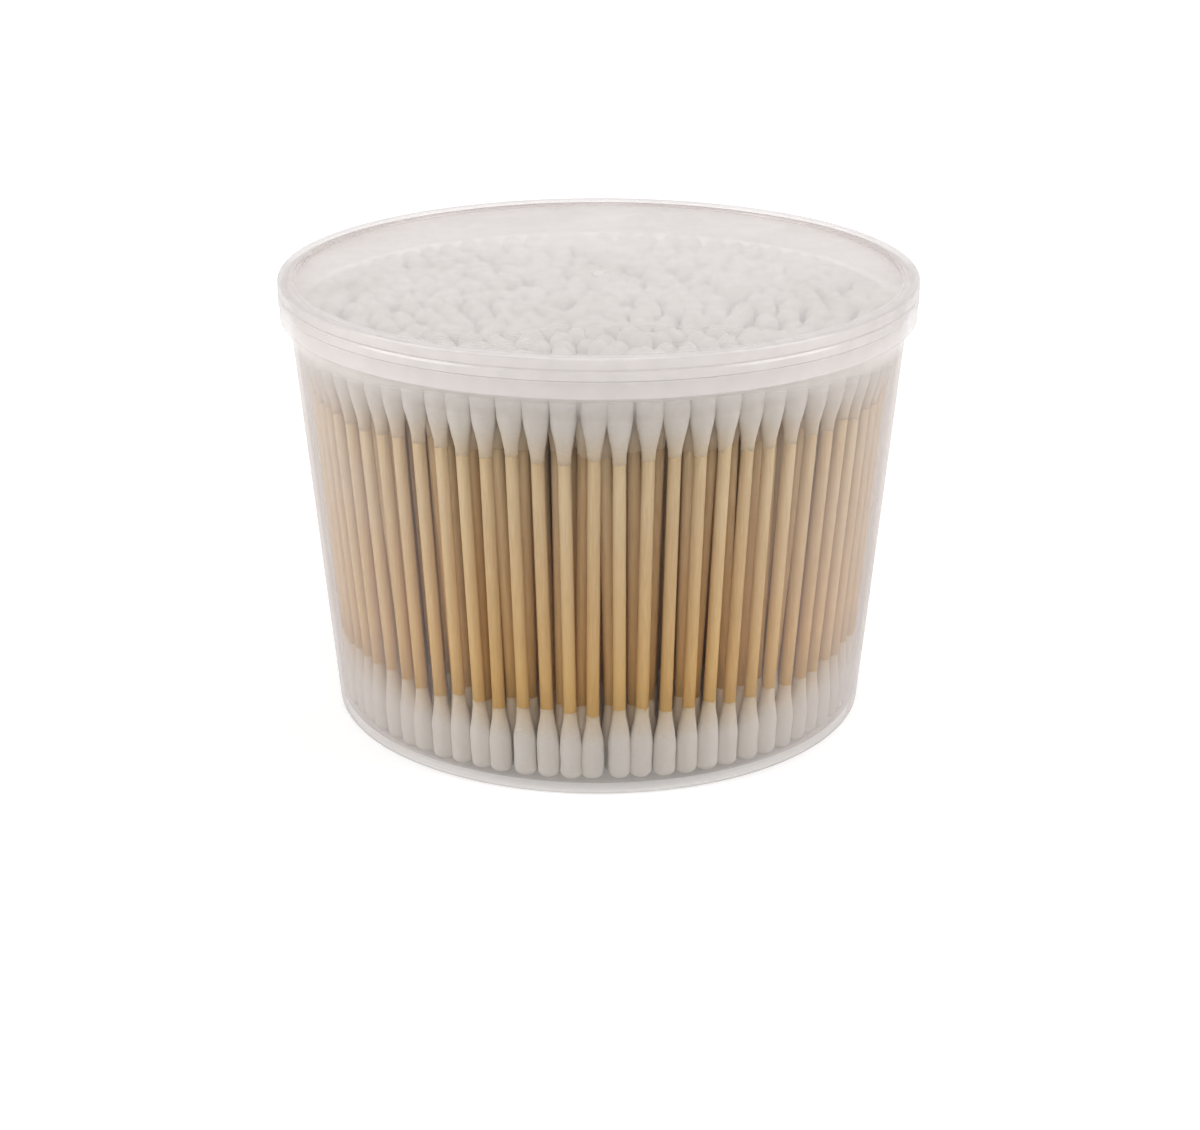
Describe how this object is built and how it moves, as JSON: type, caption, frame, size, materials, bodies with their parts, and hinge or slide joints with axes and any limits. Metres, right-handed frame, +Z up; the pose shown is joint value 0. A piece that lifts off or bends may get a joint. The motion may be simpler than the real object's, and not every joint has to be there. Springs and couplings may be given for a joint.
{
  "type": "cotton swab tub",
  "caption": "Round tapered clear tub packed with upright double-ended bamboo cotton swabs, closed by a clear press-on lid that lifts off.",
  "frame": {"origin": "middle of the foot ring's underside, where the tub stands", "axes": "+Z up along the tub's axis, towards the lid; X and Y are alike"},
  "size_m": [0.124, 0.124, 0.0874],
  "materials": {
    "clear_plastic": "clear polypropylene, faintly milky",
    "hazy_plastic": "hazy polypropylene",
    "cotton": "soft matt cotton",
    "bamboo": "plain, fine lengthwise grain"
  },
  "bodies": {
    "tub": {"tub": "clear_plastic", "inner_upper_tips": "cotton", "inner_lower_tips": "cotton", "outer_upper_tips": "cotton", "outer_lower_tips": "cotton", "outer_sticks": "bamboo", "second_row_sticks": "bamboo", "third_row_sticks": "bamboo", "core_sticks": "bamboo"},
    "lid": {"lid": "hazy_plastic"}
  },
  "joints": [
    {"name": "lid_lift", "type": "slide", "parent": "tub", "child": "lid", "axis": [0, 0, 1], "range_m": [0, 0.06]}
  ]
}
